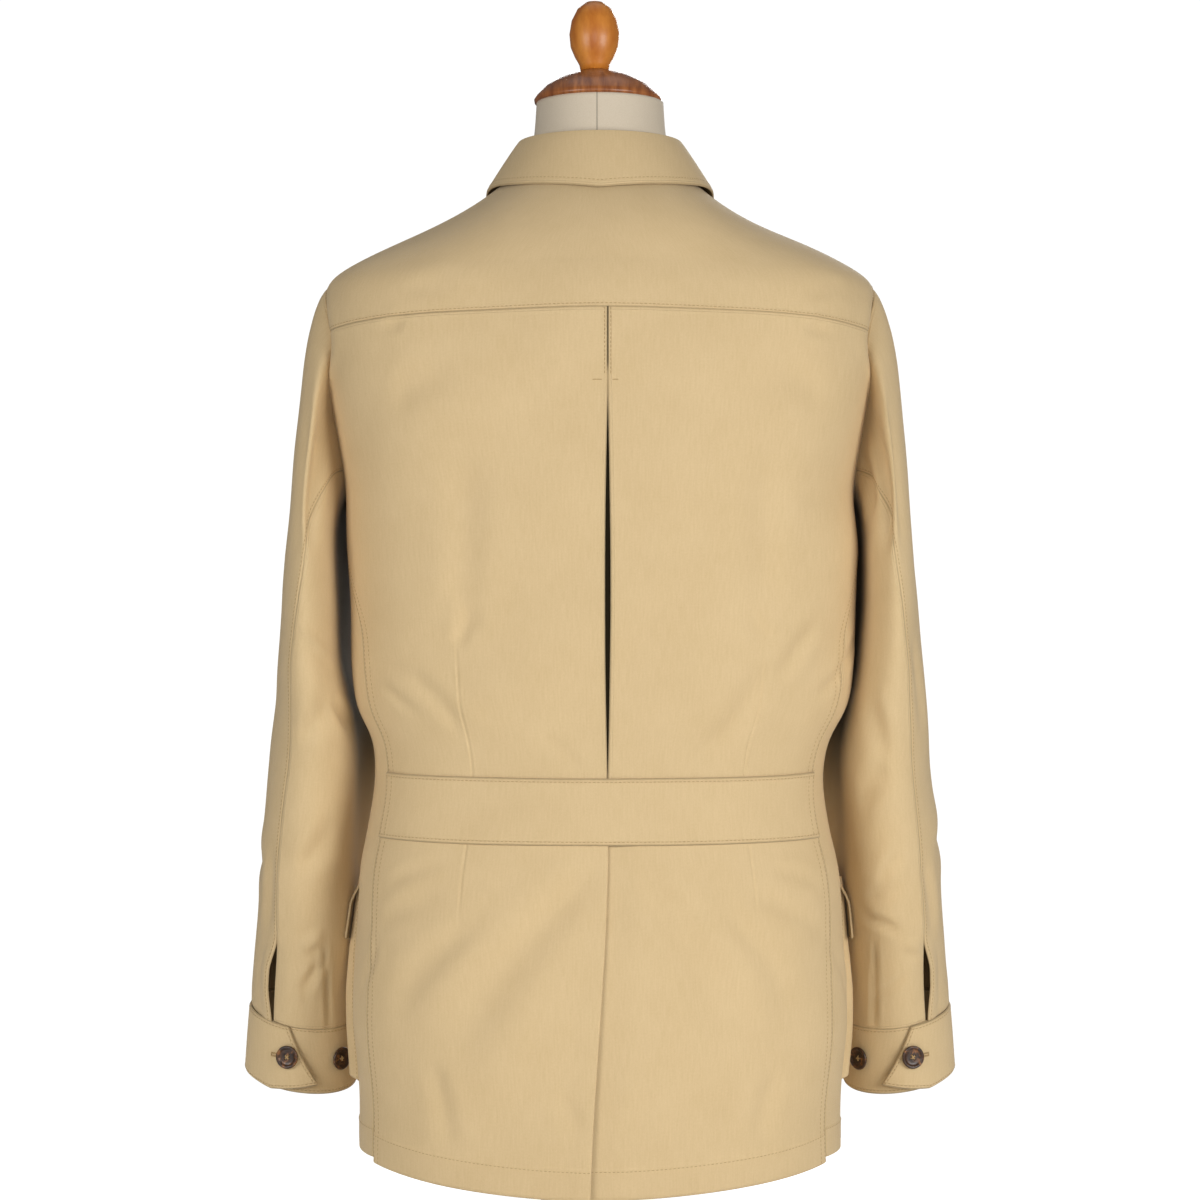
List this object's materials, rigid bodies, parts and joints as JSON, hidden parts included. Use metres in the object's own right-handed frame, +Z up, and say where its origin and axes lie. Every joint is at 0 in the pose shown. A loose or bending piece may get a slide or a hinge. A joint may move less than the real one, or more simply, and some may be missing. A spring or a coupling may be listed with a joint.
{
  "type": "safari jacket on a limbless dress form",
  "caption": "Belted safari jacket with bellows pockets, buttoned up on a limbless dress form with a short round stand.",
  "frame": {"origin": "centre of the underside of the stand's round base", "axes": "+Z up; +Y is the way the jacket's front faces, so its back faces -Y; +X is the wearer's right"},
  "size_m": [0.6, 0.34, 1.0558],
  "materials": {
    "cotton_drill": "matt twill with a slight sheen",
    "horn": "dark polished horn or resin",
    "linen": "stretched cream cloth cover",
    "beech": "clear varnish",
    "stained_beech": "reddish stain and varnish"
  },
  "bodies": {
    "root": {"yoke": "cotton_drill", "back_left": "cotton_drill", "back_right": "cotton_drill", "pleat_underlay": "cotton_drill", "half_belt": "cotton_drill", "skirt_left": "cotton_drill", "skirt_right": "cotton_drill", "front_left": "cotton_drill", "front_right": "cotton_drill", "top_sleeve_left": "cotton_drill", "top_sleeve_right": "cotton_drill", "under_sleeve_left": "cotton_drill", "under_sleeve_right": "cotton_drill", "cuff_left": "cotton_drill", "cuff_right": "cotton_drill", "collar_stand": "cotton_drill", "collar_leaf": "cotton_drill", "lower_pocket_left": "cotton_drill", "lower_pocket_right": "cotton_drill", "lower_flap_left": "cotton_drill", "lower_flap_right": "cotton_drill", "chest_pocket_left": "cotton_drill", "chest_pocket_right": "cotton_drill", "chest_flap_left": "cotton_drill", "chest_flap_right": "cotton_drill", "front_button_1": "horn", "front_button_2": "horn", "front_button_3": "horn", "front_button_4": "horn", "front_button_5": "horn", "lower_flap_button_left": "horn", "lower_flap_button_right": "horn", "chest_flap_button_left": "horn", "chest_flap_button_right": "horn", "cuff_lap_button_left": "horn", "cuff_lap_button_right": "horn", "cuff_spare_button_left": "horn", "cuff_spare_button_right": "horn", "form_torso": "linen", "form_neck": "linen", "neck_knob": "beech", "stand_post": "beech", "neck_cap": "stained_beech", "stand_base": "stained_beech"}
  },
  "joints": []
}
